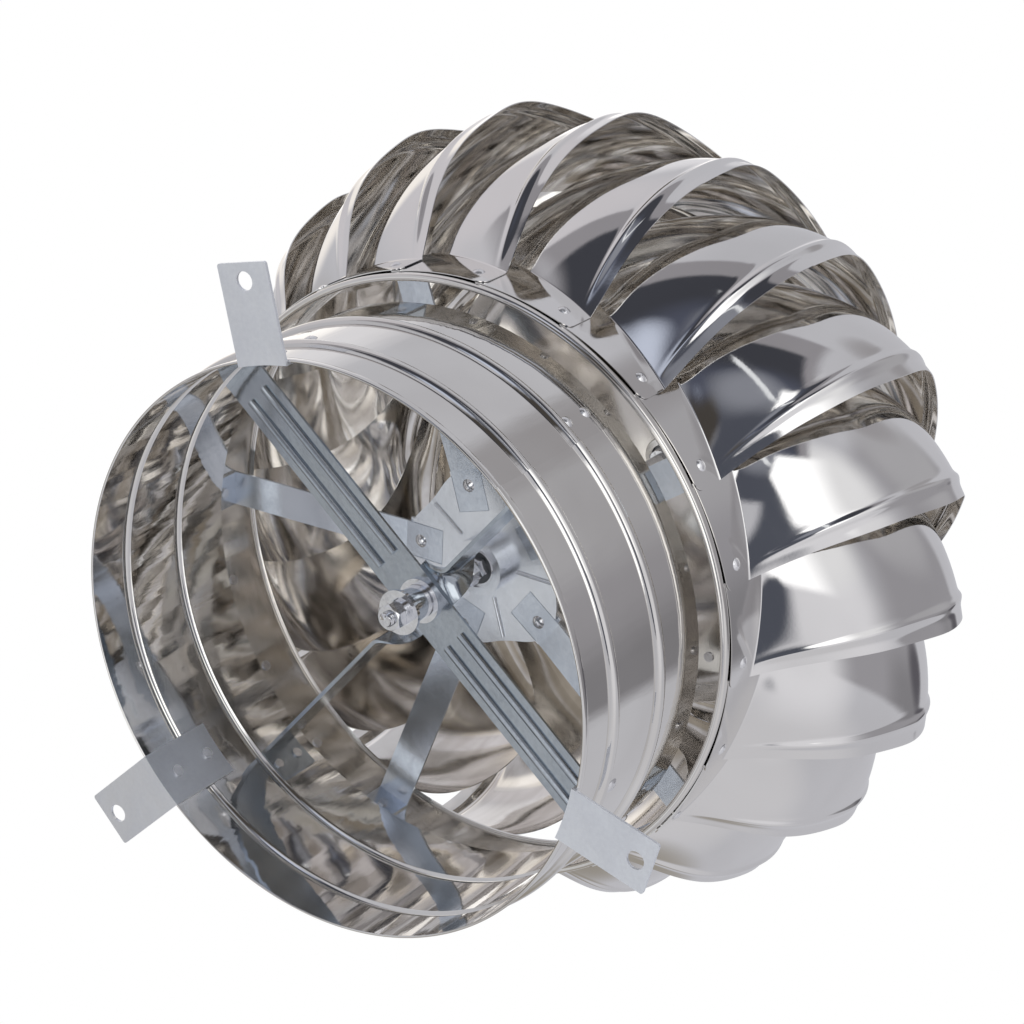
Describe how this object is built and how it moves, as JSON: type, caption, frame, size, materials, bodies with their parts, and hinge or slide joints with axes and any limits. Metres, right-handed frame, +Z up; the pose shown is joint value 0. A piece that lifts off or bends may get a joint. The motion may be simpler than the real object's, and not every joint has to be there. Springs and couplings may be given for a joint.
{
  "type": "turbine roof ventilator",
  "caption": "Wind-driven roof vent: a round throat tube with roof tabs and a cross bracket, and a globe of curved overlapping vanes that spins on a central shaft to draw air out.",
  "frame": {"origin": "on the spin axis, in the plane of the undersides of the three roof tabs", "axes": "+Z up along the spin axis from the throat tube to the cap; +X through the first roof tab"},
  "size_m": [0.4444, 0.4444, 0.3478],
  "materials": {
    "polished_sheet": "mirror polished",
    "zinc_plate": "satin",
    "zinc_strip": "satin",
    "rivet_metal": "satin",
    "fastener_steel": "bright plated",
    "bearing_steel": "ground",
    "cage_brass": "pressed",
    "shield_steel": "satin"
  },
  "bodies": {
    "base": {"neck": "polished_sheet", "tab_1": "zinc_plate", "tab_2": "zinc_plate", "tab_3": "zinc_plate", "tab_rivets": "rivet_metal", "ribbed_strip": "zinc_strip", "edge_strip": "zinc_strip", "strip_rivets": "rivet_metal", "shaft": "fastener_steel", "hex_nuts": "fastener_steel", "flat_washers": "fastener_steel", "lock_washer": "fastener_steel", "clamp_bush": "fastener_steel", "lower_inner_race": "bearing_steel", "upper_inner_race": "bearing_steel"},
    "lower_cage": {"lower_ball_cage": "cage_brass", "lower_balls": "bearing_steel"},
    "upper_cage": {"upper_ball_cage": "cage_brass", "upper_balls": "bearing_steel"},
    "rotor": {"hub_plate": "zinc_plate", "arm_1": "zinc_plate", "arm_2": "zinc_plate", "arm_3": "zinc_plate", "arm_4": "zinc_plate", "arm_5": "zinc_plate", "lower_outer_race": "bearing_steel", "upper_outer_race": "bearing_steel", "bearing_shields": "shield_steel", "hub_rivets": "rivet_metal", "arm_rivets": "rivet_metal", "collar_ring": "polished_sheet", "vane_01": "polished_sheet", "vane_02": "polished_sheet", "vane_03": "polished_sheet", "vane_04": "polished_sheet", "vane_05": "polished_sheet", "vane_06": "polished_sheet", "vane_07": "polished_sheet", "vane_08": "polished_sheet", "vane_09": "polished_sheet", "vane_10": "polished_sheet", "vane_11": "polished_sheet", "vane_12": "polished_sheet", "vane_13": "polished_sheet", "vane_14": "polished_sheet", "vane_15": "polished_sheet", "vane_16": "polished_sheet", "vane_17": "polished_sheet", "vane_18": "polished_sheet", "vane_19": "polished_sheet", "vane_20": "polished_sheet", "vane_rivets": "rivet_metal", "crown_rivets": "rivet_metal", "top_plate": "polished_sheet", "top_cap": "polished_sheet", "cap_rivets": "rivet_metal"}
  },
  "joints": [
    {"name": "rotor_spin", "type": "hinge", "parent": "base", "child": "rotor", "pos_m": [0, 0, 0.1355], "axis": [0, 0, 1], "continuous": true},
    {"name": "lower_cage_spin", "type": "hinge", "parent": "base", "child": "lower_cage", "pos_m": [0, 0, 0.1355], "axis": [0, 0, 1], "continuous": true},
    {"name": "upper_cage_spin", "type": "hinge", "parent": "base", "child": "upper_cage", "pos_m": [0, 0, 0.3235], "axis": [0, 0, 1], "continuous": true}
  ],
  "couplings": [
    {"joint": "lower_cage_spin", "follows": "rotor_spin", "ratio": 0.632},
    {"joint": "upper_cage_spin", "follows": "rotor_spin", "ratio": 0.632}
  ]
}
